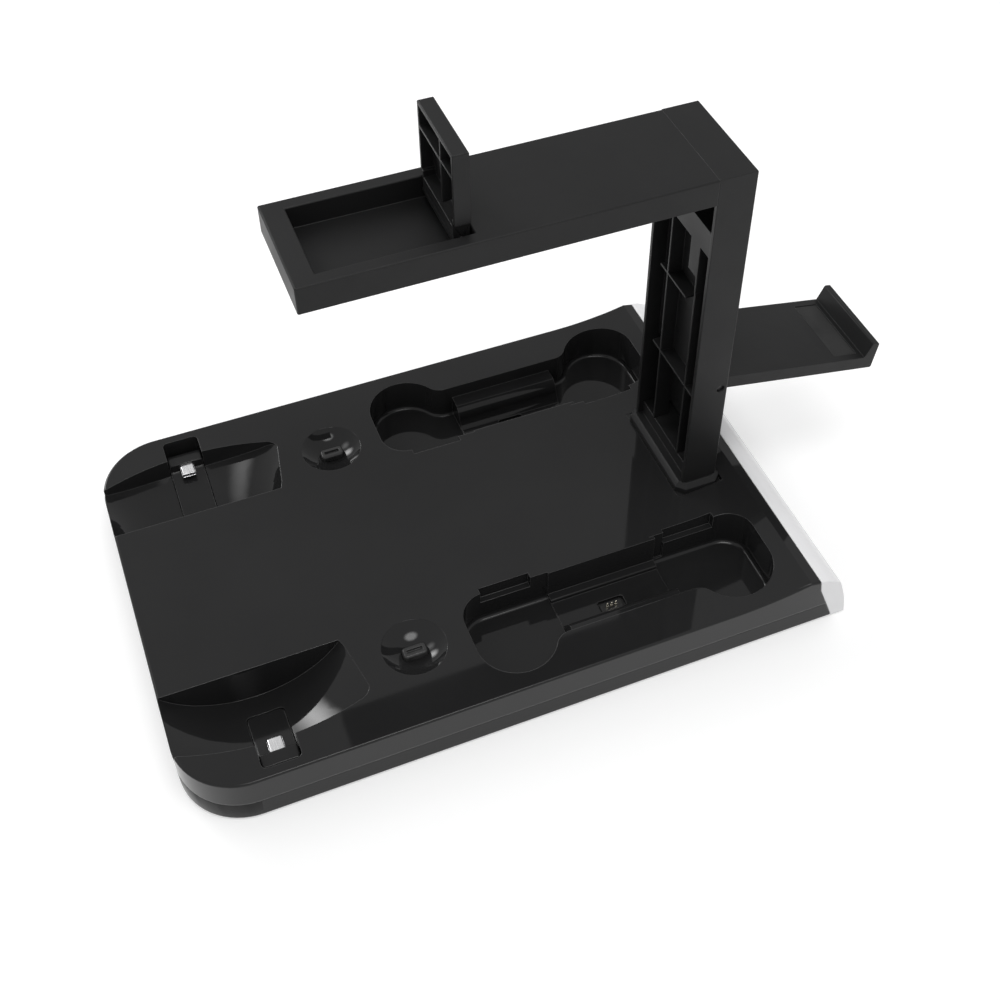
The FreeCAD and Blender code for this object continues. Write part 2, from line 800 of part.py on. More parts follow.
def well_outline(sketch, grow):
    """Plan outline of one well on the +Y side, made larger all round by grow."""
    middle = (z.well_left + z.well_right) / 2
    reach = (z.well_right - z.well_left) / 2 + grow
    radius = z.lobe_radius + grow
    lobe_x = (z.well_right - z.well_left) / 2 - z.lobe_radius
    spread = z.lobe_radius + z.neck_radius
    drop = z.well_outer + z.neck_radius - z.lobe_centre
    across = Size(
        math.sqrt(spread.value ** 2 - drop.value ** 2),
        f"sqrt({spread.text} * {spread.text} - {drop.text} * {drop.text})",
    )
    corner = z.well_corner + grow
    inner = z.well_inner - grow
    outer = z.well_outer + grow
    touch_x = lobe_x - across * radius / spread
    touch_y = z.lobe_centre + drop * radius / spread
    straight_x = lobe_x - across
    neck = z.neck_radius - grow
    outline(sketch, [
        (middle - reach + corner, inner),
        (middle + reach - corner, inner, corner),
        (middle + reach, inner + corner),
        (middle + reach, z.lobe_centre, radius),
        (middle + touch_x, touch_y, -neck),
        (middle + straight_x, outer),
        (middle - straight_x, outer, -neck),
        (middle - touch_x, touch_y, radius),
        (middle - reach, z.lobe_centre),
        (middle - reach, inner + corner, corner),
    ])


well_tub = new_body("well_tub_shape")
tub_plan = new_sketch(well_tub, "XY_Plane", "well_tub_plan", z.well_floor - z.tub_wall)
well_outline(tub_plan, z.tub_wall)
pad(well_tub, tub_plan, z.base_top - z.well_floor)
for number, (start, end, near, floor) in enumerate((
    (z.shelf_left_start, z.shelf_left_end, z.shelf_inner, z.shelf_floor),
    (z.shelf_right_start, z.shelf_right_end, z.shelf_inner, z.shelf_floor),
    (z.bridge_step_left, z.bridge_step_right, z.bridge_step_inner, z.well_floor),
)):
    box_pad(well_tub, f"shelf_tub_{number}", start - z.tub_wall, end + z.tub_wall, near - z.tub_wall,
            z.well_inner + z.overlap, floor - z.tub_wall, z.base_top - z.overlap)

well_cut = new_body("well_cut_shape")
cut_plan = new_sketch(well_cut, "XY_Plane", "well_cut_plan", z.well_floor)
well_outline(cut_plan, size(0))
pad(well_cut, cut_plan, above - z.well_floor)
round_edges(well_cut, lambda e: at_height(e, z.well_floor), z.well_fillet)
for number, (start, end) in enumerate((
    (z.shelf_left_start, z.shelf_left_end),
    (z.shelf_right_start, z.shelf_right_end),
)):
    box_pad(well_cut, f"shelf_{number}", start, end, z.shelf_inner, z.well_inner + z.overlap,
            z.shelf_floor, above)
box_pad(well_cut, "inner_step", z.bridge_step_left, z.bridge_step_right, z.bridge_step_inner,
        z.well_inner + z.overlap, z.well_floor + z.bridge_step_rise, above)

bridge = new_body("bridge_shape")
bridge_side = new_sketch(bridge, "YZ_Plane", "bridge_side", z.bridge_left)
deep = z.well_floor - z.overlap
outline(bridge_side, [
    (z.well_inner - z.overlap, deep),
    (z.well_outer + z.overlap, deep),
    (z.well_outer + z.overlap, z.ramp_top),
    (z.ramp_end, z.ramp_top, z.ramp_radius),
    (z.ramp_mid, z.ramp_mid_top, -z.ramp_radius),
    (z.ramp_start, z.pin_plate_top),
    (z.ledge_outer, z.pin_plate_top),
    (z.ledge_outer, z.ledge_top),
    (z.bridge_wall, z.ledge_top),
    (z.bridge_wall, above),
    (z.well_inner - z.overlap, above),
])
pad(bridge, bridge_side, z.bridge_right - z.bridge_left)
round_edges(
    bridge,
    lambda e: at_height(e, z.ledge_top) and e.BoundBox.YMin > z.ledge_outer.value - 0.1,
    z.ledge_round,
)

window = new_body("pin_window_shape")
block_pad(window, "pin_window_box", z.pin_row_x, z.pin_row_y, z.pin_window_length, z.pin_window_width,
          z.well_floor - z.tub_wall - z.overlap, z.pin_plate_top + z.overlap)
round_edges(window, upright, z.pin_window_corner)


def cradle_section(body, name, distance, half, depth, grow, over):
    """Arc-bottomed section across the cradle at one distance from the middle plane."""
    section = new_sketch(body, "XZ_Plane", name, -size(distance))
    half = size(half) + grow
    depth = size(depth) + grow
    bend = (half * half + depth * depth) / (depth * 2)
    outline(section, [
        (z.cradle_centre - half, over),
        (z.cradle_centre - half, z.base_top, bend),
        (z.cradle_centre + half, z.base_top),
        (z.cradle_centre + half, over),
    ])
    return section


def cradle_solid(name, grow, over):
    """Hollow of one cradle on the +Y side, made larger all round by grow."""
    saddle = new_body(name + "_saddle")
    first = cradle_section(saddle, name + "_inner", z.cradle_inner - grow, z.cradle_inner_half,
                           z.cradle_inner_depth, grow, over)
    second = cradle_section(saddle, name + "_outer", z.cradle_outer + grow, z.cradle_outer_half,
                            z.cradle_outer_depth, grow, over)
    loft = saddle.newObject("PartDesign::AdditiveLoft", name + "_loft")
    loft.Profile = first
    loft.Sections = [second]
    loft.Ruled = True
    rim = new_body(name + "_rim")
    plan = new_sketch(rim, "XY_Plane", name + "_plan", 0)
    outline(plan, [
        (z.cradle_open, z.cradle_inner - grow),
        (z.rim_start_x + grow, z.cradle_inner - grow, z.rim_side_radius + grow),
        (z.rim_side_x + grow, z.rim_side_y, z.rim_corner_radius + grow),
        (z.rim_corner_x, z.rim_corner_y + grow, z.rim_arc_radius + grow),
        (z.rim_end_x, z.rim_end_y + grow),
        (z.cradle_open, z.rim_end_y + grow),
    ])
    pad(rim, plan, above)
    both = doc.addObject("Part::Common", name)
    both.Base = saddle
    both.Tool = rim
    return both


cradle_cut = cradle_solid("cradle_cut", size(0), above)
cradle_tub = cradle_solid("cradle_tub", z.tub_wall, z.base_top + z.overlap)

slot_half = z.carrier_half + z.carrier_gap
slot_cut = new_body("slot_cut_shape")
box_pad(slot_cut, "slot_box", z.carrier_centre - slot_half, z.carrier_centre + slot_half,
        z.slot_inner, z.slot_outer, z.slot_floor, above)
round_edges(slot_cut, upright, z.carrier_corner)
slot_rest = new_body("slot_rest_shape")
box_pad(slot_rest, "slot_rest_box", z.carrier_centre - z.slot_rest_half, z.carrier_centre + z.slot_rest_half,
        z.slot_inner - z.overlap, z.carrier_inner + z.slot_rest_reach, z.slot_floor - z.overlap,
        z.carrier_bottom)
slot_hollow = doc.addObject("Part::Cut", "slot_hollow")
slot_hollow.Base = slot_cut
slot_hollow.Tool = slot_rest
slot_tub = new_body("slot_tub_shape")
box_pad(slot_tub, "slot_tub_box", z.carrier_centre - slot_half - z.tub_wall,
        z.carrier_centre + slot_half + z.tub_wall, z.slot_inner - z.tub_wall, z.slot_outer + z.tub_wall,
        z.slot_floor - z.tub_wall, z.base_top - z.overlap)

dish_ball = doc.addObject("Part::Sphere", "dish_ball")
dish_ball.setExpression("Radius", z.dish_sphere_radius.text)
dish_ball.setExpression("Placement.Base.x", z.dish_x.text)
dish_ball.setExpression("Placement.Base.y", z.dish_y.text)
dish_ball.setExpression("Placement.Base.z", (z.base_top - z.dish_depth + z.dish_sphere_radius).text)
dish_tub_low = z.base_top - z.dish_depth - z.tub_wall
dish_tub = cylinder("dish_tub", z.dish_x, z.dish_y, dish_tub_low, z.dish_tub_radius,
                    z.base_top - z.overlap - dish_tub_low)
dish_window = new_body("dish_window_shape")
block_pad(dish_window, "dish_window_box", z.dish_x, z.dish_y, z.dish_block_length + z.snug_gap * 2,
          z.dish_block_width + z.snug_gap * 2, z.dish_block_bottom, above)
round_edges(dish_window, upright, z.dish_corner)

bore_half = z.carrier_pin_half + z.pin_end_gap
carrier_bore = cylinder("carrier_bore", z.carrier_centre - bore_half, z.carrier_pin_y, z.carrier_pin_z,
                        z.carrier_pin_radius + z.running_gap, bore_half * 2)
carrier_bore.Placement.Rotation = FreeCAD.Rotation(FreeCAD.Vector(0, 1, 0), 90)

envelope = new_body("envelope_shape")
plan = new_sketch(envelope, "XY_Plane", "envelope_plan", z.case_floor)
case_outline(plan, size(0), z.end_seam_knee_x - z.overlap)
pad(envelope, plan, z.base_top - z.overlap - z.case_floor)
loose_tubs = doc.addObject("Part::MultiFuse", "loose_tubs")
loose_tubs.Shapes = [well_tub, cradle_tub, slot_tub, dish_tub]
tub_group = doc.addObject("Part::Common", "tubs_back")
tub_group.Base = loose_tubs
tub_group.Tool = envelope
well_hollow = doc.addObject("Part::Cut", "well_hollow")
well_hollow.Base = well_cut
well_hollow.Tool = bridge
cut_group = doc.addObject("Part::MultiFuse", "cuts_back")
cut_group.Shapes = [well_hollow, window, cradle_cut, slot_hollow, dish_ball, dish_window, carrier_bore]

case_screw_places = []
for side_sign in (-1, 1):
    for x in (z.screw_row_left, z.screw_row_middle, z.screw_row_right):
        case_screw_places.append((x, z.screw_row_y * side_sign))
    case_screw_places.append((z.corner_screw_x, z.corner_screw_y * side_sign))
boss_shapes = []
hole_shapes = []
tight_radius = z.screw_radius + z.running_gap
for number, (x, y) in enumerate(case_screw_places):
    boss_shapes.append(cylinder(f"boss_{number}", x, y, z.case_floor, z.boss_radius,
                                z.boss_top - z.case_floor))
    hole_shapes.append(cylinder(f"boss_hole_{number}", x, y, z.case_floor - z.overlap, tight_radius,
                                z.case_screw_length))

seat = new_body("foot_seat_shape")
box_pad(seat, "foot_seat_box", z.foot_left - z.seat_gap, z.foot_right + z.seat_gap,
        -z.foot_half - z.seat_gap, z.foot_half + z.seat_gap, z.base_top, above)
foot_screw_places = [(z.foot_screw_x, z.foot_screw_y * step) for step in (-1, 0, 1)]
for number, (x, y) in enumerate(foot_screw_places):
    hole_shapes.append(cylinder(f"foot_hole_{number}", x, y, z.base_top - z.case_wall - z.overlap,
                                tight_radius, z.case_wall + z.overlap * 2))

body_group = doc.addObject("Part::MultiFuse", "shell_with_tubs")
body_group.Shapes = [shell, tub_group, mirror_of(tub_group, "tubs_front")] + boss_shapes
all_cuts = doc.addObject("Part::MultiFuse", "all_cuts")
all_cuts.Shapes = [cut_group, mirror_of(cut_group, "cuts_front"), seat] + hole_shapes
top_shell = doc.addObject("Part::Cut", "base_top_shell")
top_shell.Base = body_group
top_shell.Tool = all_cuts
top_shell.Label = "base_top_shell"
parts.append(top_shell)

# Lower shell of the base

bottom = new_body("base_bottom_shell")
parts.append(bottom)
bottom_high = z.seam_height - z.seam_gap / 2
side = new_sketch(bottom, "XZ_Plane", "lower_side")
outline(side, [
    (-z.base_half_length, z.case_bottom),
    (z.end_seam_low_x, z.case_bottom),
    (z.end_seam_mid_x, bottom_high),
    (-z.base_half_length, bottom_high),
])
pad(bottom, side, z.base_half_depth * 2, both_ways=True)
round_edges(bottom, lambda e: upright(e) and e.BoundBox.XMax < 0, z.corner_radius)
round_edges(bottom, lambda e: at_height(e, z.case_bottom) and e.BoundBox.XMin < z.end_seam_low_x.value - 1,
            z.edge_round)
inside = new_sketch(bottom, "XY_Plane", "lower_inside", bottom_high)
case_outline(inside, z.case_wall, inside_right)
pocket(bottom, inside, bottom_high - z.case_floor)
board_screw_places = [
    (x, z.board_post_y * side_sign) for x in (z.board_post_left, z.board_post_right) for side_sign in (-1, 1)
]
for number, (x, y) in enumerate(board_screw_places):
    sketch = new_sketch(bottom, "XY_Plane", f"board_post_{number}", z.case_floor - z.overlap)
    disc(sketch, x, y, z.board_post_radius)
    pad(bottom, sketch, z.board_bottom - z.case_floor + z.overlap)
    disc_cut(bottom, f"board_post_hole_{number}", x, y, tight_radius, z.case_floor, z.board_bottom)
loose_radius = z.screw_radius + z.loose_gap
sink_radius = z.screw_head_radius + z.loose_gap
for number, (x, y) in enumerate(case_screw_places):
    disc_cut(bottom, f"case_hole_{number}", x, y, loose_radius, 0, z.case_floor)
    disc_cut(bottom, f"case_sink_{number}", x, y, sink_radius, 0, z.case_floor - z.screw_seat)
feet_places = [(z.rubber_x * step, z.rubber_y * side_sign) for step in (-1, 0, 1) for side_sign in (-1, 1)]
for number, (x, y) in enumerate(feet_places):
    disc_cut(bottom, f"foot_recess_{number}", x, y, z.rubber_radius + z.loose_gap, 0,
             z.case_bottom + z.rubber_recess)
inlet = new_sketch(bottom, "XZ_Plane", "inlet_opening", -z.base_half_depth - z.overlap)
inlet_half_width = z.inlet_width / 2 + z.loose_gap
inlet_half_height = z.inlet_height / 2 + z.loose_gap
box_outline(inlet, z.inlet_x - inlet_half_width, z.inlet_axis_z - inlet_half_height,
            z.inlet_x + inlet_half_width, z.inlet_axis_z + inlet_half_height)
pocket(bottom, inlet, z.case_wall + z.overlap * 2, backwards=True)

# White end trim

trim = new_body("end_trim")
parts.append(trim)
wall_length = (z.base_half_depth - z.trim_wall) * 2
side = new_sketch(trim, "XZ_Plane", "trim_side")
outline(side, [
    (z.end_seam_low_x + z.trim_gap, z.case_bottom),
    (z.base_half_length, z.case_bottom, z.trim_side_radius),
    (z.trim_shoulder_x, z.trim_shoulder_z, z.trim_crown_radius),
    (z.ridge_end_x + z.trim_gap, z.ridge_end_top),
    (z.end_seam_knee_x + z.trim_gap, z.end_seam_knee_z),
])
pad(trim, side, z.base_half_depth * 2, both_ways=True)
trim_cells = 4
cell_length = (wall_length - z.trim_rib * (trim_cells - 1)) / trim_cells
for number in range(trim_cells):
    start = (cell_length + z.trim_rib) * number - wall_length / 2
    cell = new_sketch(trim, "XZ_Plane", f"trim_cell_{number}", -start)
    outline(cell, [
        (z.ridge_end_x, z.case_bottom + z.trim_wall),
        (z.base_half_length - z.trim_wall - z.loose_gap, z.case_bottom + z.trim_wall),
        (z.trim_shoulder_x - z.trim_wall, z.trim_shoulder_z - z.trim_wall / 2),
        (z.ridge_end_x + z.trim_wall * 2, z.end_seam_knee_z + z.trim_wall),
        (z.ridge_end_x, z.end_seam_knee_z + z.trim_wall),
    ])
    pocket(trim, cell, cell_length)

# Rubber feet and case screws

foot = cylinder("rubber_foot", 0, 0, 0, z.rubber_radius, z.rubber_thickness)
parts.append(copies_of(foot, "rubber_feet", [vec(x, y) for x, y in feet_places]))
case_screw = screw_body("case_screw", z.case_screw_length)
sink = z.case_floor - z.screw_seat - z.screw_head_height
parts.append(copies_of(case_screw, "case_screws", [vec(x, y, sink) for x, y in case_screw_places]))

# Main board

board = new_body("main_circuit_board")
parts.append(board)
box_pad(board, "board_plate", z.board_left, z.board_right, -z.board_half, z.board_half, z.board_bottom,
        z.board_bottom + z.board_thickness)
board_face = z.board_bottom + z.board_thickness
for number, (x, y) in enumerate(board_screw_places):
    disc_cut(board, f"board_hole_{number}", x, y, loose_radius, z.board_bottom, board_face)
for number, (from_left, y, length, width, height) in enumerate(CHIPS):
    chip_x = z.board_left + from_left
    box_pad(board, f"chip_{number}", chip_x - length / 2, chip_x + length / 2, y - width / 2, y + width / 2,
            board_face - z.board_thickness / 2, board_face + height)

board_screw = screw_body("board_screw", z.board_screw_length)
turned = doc.addObject("Part::Feature", "board_screw_turned")
doc.recompute()
turned.Shape = board_screw.Shape.rotated(FreeCAD.Vector(), FreeCAD.Vector(1, 0, 0), 180)
screw_face = board_face + z.screw_head_height
parts.append(copies_of(turned, "board_screws", [vec(x, y, screw_face) for x, y in board_screw_places]))

# Power inlet

socket = new_body("power_inlet_socket")
parts.append(socket)
mouth = z.base_half_depth - z.inlet_set_back
sketch = new_sketch(socket, "XZ_Plane", "inlet_shell_outline", -mouth)
box_outline(sketch, z.inlet_x - z.inlet_width / 2, z.inlet_axis_z - z.inlet_height / 2,
            z.inlet_x + z.inlet_width / 2, z.inlet_axis_z + z.inlet_height / 2)
pad(socket, sketch, z.inlet_depth)
round_edges(socket, lambda e: e.BoundBox.YLength > z.inlet_depth.value / 2, z.inlet_round)
sketch = new_sketch(socket, "XZ_Plane", "inlet_mouth_outline", -mouth)
mouth_half_width = z.inlet_width / 2 - z.inlet_shell
mouth_half_height = z.inlet_height / 2 - z.inlet_shell
box_outline(sketch, z.inlet_x - mouth_half_width, z.inlet_axis_z - mouth_half_height,
            z.inlet_x + mouth_half_width, z.inlet_axis_z + mouth_half_height)
pocket(socket, sketch, z.inlet_depth - z.inlet_back_wall, backwards=True)
sketch = new_sketch(socket, "XZ_Plane", "inlet_tongue_outline", z.inlet_depth - mouth)
box_outline(sketch, z.inlet_x - z.inlet_tongue_half, z.inlet_axis_z - z.inlet_tongue_thickness / 2,
            z.inlet_x + z.inlet_tongue_half, z.inlet_axis_z + z.inlet_tongue_thickness / 2)
pad(socket, sketch, z.inlet_depth - z.inlet_tongue_inset, backwards=True)

inlet_board = new_body("inlet_board")
parts.append(inlet_board)
inlet_board_top = z.inlet_axis_z - z.inlet_height / 2
inlet_board_left = z.inlet_x - z.inlet_board_width / 2
inlet_board_outer = wall_y - z.loose_gap
inlet_board_low = inlet_board_top - z.inlet_board_thickness
box_pad(inlet_board, "inlet_board_plate", inlet_board_left, inlet_board_left + z.inlet_board_width,
        inlet_board_outer - z.inlet_board_depth, inlet_board_outer, inlet_board_low, inlet_board_top)
for number, side_sign in enumerate((-1, 1)):
    post_x = z.inlet_x + z.inlet_post_x * side_sign
    box_pad(bottom, f"inlet_post_{number}", post_x - z.inlet_post_half, post_x + z.inlet_post_half,
            inlet_board_outer - z.inlet_board_depth, inlet_board_outer - z.inlet_post_half,
            z.case_floor - z.overlap, inlet_board_low)

# Tilting plug carriers and their plugs

carrier = new_body("plug_carrier_back")
side = new_sketch(carrier, "YZ_Plane", "carrier_side", z.carrier_centre)
outline(side, [
    (z.carrier_inner, z.carrier_bottom),
    (z.carrier_head_outer, z.carrier_bottom),
    (z.carrier_head_outer, z.carrier_head_top),
    (z.carrier_head_inner, z.carrier_head_top),
    (z.carrier_head_inner, z.carrier_neck_z),
    (z.carrier_inner, z.carrier_strip_top),
])
pad(carrier, side, z.carrier_half * 2, both_ways=True)
round_edges(carrier, lambda e: upright(e) and e.BoundBox.YMax < z.carrier_inner.value + 0.1,
            z.carrier_corner)
round_edges(carrier, lambda e: upright(e) and e.BoundBox.YMin > z.carrier_head_outer.value - 0.1,
            z.carrier_back_corner)
round_edges(carrier, lambda e: at_height(e, z.carrier_head_top), z.carrier_edge)
plug_hole = new_sketch(carrier, "XZ_Plane", "plug_hole", z.overlap - z.carrier_head_inner)
hole_half_width = z.plug_width / 2 + z.running_gap
hole_half_height = z.plug_height / 2 + z.running_gap
box_outline(plug_hole, z.carrier_centre - hole_half_width, z.plug_axis_z - hole_half_height,
            z.carrier_centre + hole_half_width, z.plug_axis_z + hole_half_height)
pocket(carrier, plug_hole, z.plug_root - z.carrier_head_inner + z.overlap + z.running_gap)
pin_hole = new_sketch(carrier, "YZ_Plane", "carrier_pin_hole", z.carrier_centre)
disc(pin_hole, z.carrier_pin_y, z.carrier_pin_z, z.carrier_pin_radius + z.running_gap)
pocket(carrier, pin_hole, (z.carrier_half + z.overlap) * 2, both_ways=True)

plug = new_body("cradle_plug_back")
sketch = new_sketch(plug, "XZ_Plane", "plug_outline", -z.plug_tip)
box_outline(sketch, z.carrier_centre - z.plug_width / 2, z.plug_axis_z - z.plug_height / 2,
            z.carrier_centre + z.plug_width / 2, z.plug_axis_z + z.plug_height / 2)
pad(plug, sketch, z.plug_root - z.plug_tip, backwards=True)
round_edges(plug, lambda e: e.BoundBox.YLength > z.plug_height.value, z.plug_corner)
sketch = new_sketch(plug, "XZ_Plane", "plug_mouth", -z.plug_tip)
box_outline(sketch, z.carrier_centre - z.plug_hollow_width / 2, z.plug_axis_z - z.plug_hollow_height / 2,
            z.carrier_centre + z.plug_hollow_width / 2, z.plug_axis_z + z.plug_hollow_height / 2)
pocket(plug, sketch, z.plug_hollow_depth)
sketch = new_sketch(plug, "XZ_Plane", "plug_tongue", -z.plug_tip - z.plug_tongue_inset)
box_outline(sketch, z.carrier_centre - z.plug_tongue_width / 2, z.plug_axis_z - z.plug_tongue_height / 2,
            z.carrier_centre + z.plug_tongue_width / 2, z.plug_axis_z + z.plug_tongue_height / 2)
pad(plug, sketch, z.plug_hollow_depth, backwards=True)

carrier_pin = new_body("carrier_pin_back")
sketch = new_sketch(carrier_pin, "YZ_Plane", "carrier_pin_outline", z.carrier_centre)
disc(sketch, z.carrier_pin_y, z.carrier_pin_z, z.carrier_pin_radius)
pad(carrier_pin, sketch, z.carrier_pin_half * 2, both_ways=True)

# Dish connectors, pin blocks and contact pins

dish_block = new_body("dish_connector_back")
block_pad(dish_block, "dish_block_box", z.dish_x, z.dish_y, z.dish_block_length, z.dish_block_width,
          z.dish_block_bottom, z.dish_block_top)
round_edges(dish_block, upright, z.dish_corner)
round_edges(dish_block, lambda e: at_height(e, z.dish_block_top), z.dish_edge, "PartDesign::Chamfer")
slot_sketch = new_sketch(dish_block, "XY_Plane", "dish_contact_slot", z.dish_block_top)
box_outline(slot_sketch, z.dish_x - z.dish_slot_length / 2, z.dish_y - z.dish_slot_width / 2,
            z.dish_x + z.dish_slot_length / 2, z.dish_y + z.dish_slot_width / 2)
pocket(dish_block, slot_sketch, z.dish_slot_depth)
block_pad(dish_block, "dish_flange_box", z.dish_x, z.dish_y, z.dish_block_length + z.dish_flange * 2,
          z.dish_block_width + z.dish_flange * 2, z.dish_block_bottom, dish_tub_low)

pin_block = new_body("pin_block_back")
block_pad(pin_block, "pin_block_box", z.pin_row_x, z.pin_row_y, z.pin_block_length, z.pin_block_width,
          z.well_floor - z.tub_wall - z.overlap, z.pin_block_top)
block_pad(pin_block, "pin_block_flange", z.pin_row_x, z.pin_row_y, z.pin_window_length + z.pin_flange * 2,
          z.pin_window_width + z.pin_flange * 2, z.pin_block_bottom, z.well_floor - z.tub_wall)

contact_pins = []
for number, step in ((1, -1), (2, 0), (3, 1)):
    x = z.pin_row_x + z.pin_pitch * step
    disc_cut(pin_block, f"pin_bore_{number}", x, z.pin_row_y, z.pin_radius + z.running_gap,
             z.pin_block_bottom, z.pin_block_top)
    disc_cut(pin_block, f"pin_spring_bore_{number}", x, z.pin_row_y, z.pin_foot_radius + z.running_gap,
             z.pin_block_bottom, z.pin_foot_top)
    pin = new_body(f"contact_pin_back_{number}")
    for name, radius, top in (
        ("collar", z.pin_foot_radius, z.pin_foot_top),
        ("shank", z.pin_radius, z.pin_step),
        ("tip", z.pin_tip_radius, z.pin_tip),
    ):
        sketch = new_sketch(pin, "XY_Plane", f"pin_{name}_{number}", z.pin_bottom)
        disc(sketch, x, z.pin_row_y, radius)
        pad(pin, sketch, top - z.pin_bottom)
    round_edges(pin, lambda e: at_height(e, z.pin_tip), z.pin_edge, "PartDesign::Chamfer")
    contact_pins.append(pin)

mirrored = [carrier, plug, carrier_pin, dish_block, pin_block] + contact_pins

# Column foot

column_foot = new_body("column_foot")
parts.append(column_foot)
plan = new_sketch(column_foot, "XY_Plane", "foot_plan", z.base_top)
cut = z.foot_corner
outline(plan, [
    (z.foot_left + cut, -z.foot_half),
    (z.foot_right - cut, -z.foot_half),
    (z.foot_right, -z.foot_half + cut),
    (z.foot_right, z.foot_half - cut),
    (z.foot_right - cut, z.foot_half),
    (z.foot_left + cut, z.foot_half),
    (z.foot_left, z.foot_half - cut),
    (z.foot_left, -z.foot_half + cut),
])
pad(column_foot, plan, z.column_bottom - z.base_top)
round_edges(column_foot, lambda e: at_height(e, z.column_bottom), z.foot_chamfer, "PartDesign::Chamfer")
fit_gap = z.foot_locator_gap
locator_half = z.column_half - z.column_wall - fit_gap
box_pad(column_foot, "foot_locator", z.column_left + z.foot_locator_inset,
        z.column_right - z.column_wall - fit_gap, -locator_half, locator_half,
        z.column_bottom - z.overlap, z.column_bottom + z.foot_locator_height)
foot_screw_low = z.base_top - z.case_wall - z.screw_head_height
for number, (x, y) in enumerate(foot_screw_places):
    disc_cut(column_foot, f"foot_screw_hole_{number}", x, y, tight_radius, z.base_top,
             foot_screw_low + z.foot_screw_length + z.pin_end_gap)

foot_screw = screw_body("foot_screw", z.foot_screw_length)
foot_screw_spots = [vec(x, y, foot_screw_low) for x, y in foot_screw_places]
parts.append(copies_of(foot_screw, "column_foot_screws", foot_screw_spots))

# Column

column = new_body("column")
parts.append(column)
inner_half = z.column_half - z.column_wall
box_pad(column, "column_block", z.column_left, z.column_right, -z.column_half, z.column_half,
        z.column_bottom, z.column_top)
round_edges(column, lambda e: e.BoundBox.XMin > z.column_right.value - SAME, z.column_edge)
box_cut(column, "channel", z.column_left, z.channel_floor, -inner_half, inner_half, z.column_bottom,
        z.column_top - z.column_wall)
for name, low, high in (
    ("channel_low", z.column_bottom, z.recess_bottom - z.column_wall),
    ("channel_high", z.recess_top + z.column_wall, z.column_top - z.column_wall),
):
    box_cut(column, name, z.channel_floor - z.overlap, z.column_right - z.column_wall, -inner_half,
            inner_half, low, high)
rib_root = z.channel_floor + z.overlap
rib_top = z.lip_box_bottom + z.overlap
box_pad(column, "lip_box", z.lip_box_left, rib_root, -inner_half, inner_half, z.lip_box_bottom,
        z.recess_top + z.column_wall)
box_pad(column, "catch_box", z.lip_box_left, rib_root, -z.catch_front_y, -z.catch_back_y, z.catch_bottom,
        rib_top)
box_pad(column, "catch_strip", z.lip_box_left, rib_root, -z.catch_front_y, z.catch_strip - z.catch_front_y,
        z.catch_strip_bottom, rib_top)
half_rib = z.rib_thickness / 2
for number, y in enumerate((z.long_rib_back_y, -z.long_rib_front_y)):
    box_pad(column, f"long_rib_{number}", z.rib_edge, rib_root, y - half_rib, y + half_rib,
            z.column_bottom + z.long_rib_start, rib_top)
for number, (back, front, top) in enumerate((
    (z.cross_rib_low_back, z.cross_rib_low_front, z.cross_rib_low),
    (z.cross_rib_high_back, z.cross_rib_high_front, z.cross_rib_high),
)):
    box_pad(column, f"cross_rib_{number}", z.rib_edge, rib_root, -front, back, top - z.rib_thickness, top)
box_cut(column, "recess", z.recess_floor, z.column_right, -z.recess_half, z.recess_half, z.recess_bottom,
        z.recess_top)
box_cut(column, "lip_pocket", z.lip_pocket_floor, z.recess_floor + z.overlap, -z.recess_half, z.recess_half,
        z.lip_pocket_bottom, z.recess_top)
sketch = new_sketch(column, "XZ_Plane", "bracket_pin_bore")
disc(sketch, z.bracket_pin_x, z.bracket_pin_z, z.bracket_pin_radius + z.running_gap)
outside = z.column_half + z.overlap
pocket(column, sketch, outside * 2, both_ways=True)
for number, (offset, turn) in enumerate(((outside, False), (-outside, True))):
    sketch = new_sketch(column, "XZ_Plane", f"bracket_pin_sink_{number}", offset)
    disc(sketch, z.bracket_pin_x, z.bracket_pin_z, z.bracket_pin_radius + z.loose_gap)
    pocket(column, sketch, outside - z.bracket_pin_half, backwards=turn)

# Arm

arm = new_body("arm")
parts.append(arm)
box_pad(arm, "arm_block", z.arm_left, z.column_left, -z.column_half, z.column_half, z.arm_bottom,
        z.column_top)
round_edges(arm, lambda e: e.BoundBox.XMin < z.column_left.value - 1, z.arm_edge, "PartDesign::Chamfer")
box_cut(arm, "tray", z.tray_left, z.tray_right, -z.tray_half, z.tray_half, z.tray_floor, z.column_top)
round_edges(
    arm,
    lambda e: at_height(e, z.column_top) and abs(e.BoundBox.YMax) < z.tray_half.value + 0.1
    and e.BoundBox.XMin > z.tray_left.value - 0.1 and e.BoundBox.XMax < z.tray_right.value + 0.1,
    z.tray_edge, "PartDesign::Chamfer",
)
box_cut(arm, "arm_hollow", z.hollow_left, z.hollow_right, -z.hollow_half, z.hollow_half, z.arm_bottom,
        z.hollow_top)
cover_screw_places = [
    (x, z.cover_screw_y * side_sign)
    for x in (z.cover_screw_left, z.cover_screw_right)
    for side_sign in (-1, 1)
]
cover_top = z.arm_bottom + z.cover_thickness
for number, (x, y) in enumerate(cover_screw_places):
    sketch = new_sketch(arm, "XY_Plane", f"cover_post_{number}", cover_top)
    disc(sketch, x, y, z.boss_radius)
    pad(arm, sketch, z.hollow_top - cover_top + z.overlap)
    disc_cut(arm, f"cover_post_hole_{number}", x, y, tight_radius, z.arm_bottom,
             z.arm_bottom + z.cover_screw_length + z.pin_end_gap)
box_pad(arm, "tongue", z.column_left - z.overlap, z.tongue_end, -z.tongue_half, z.tongue_half,
        z.tongue_bottom, z.tongue_top)
sketch = new_sketch(arm, "XZ_Plane", "flap_pin_bore")
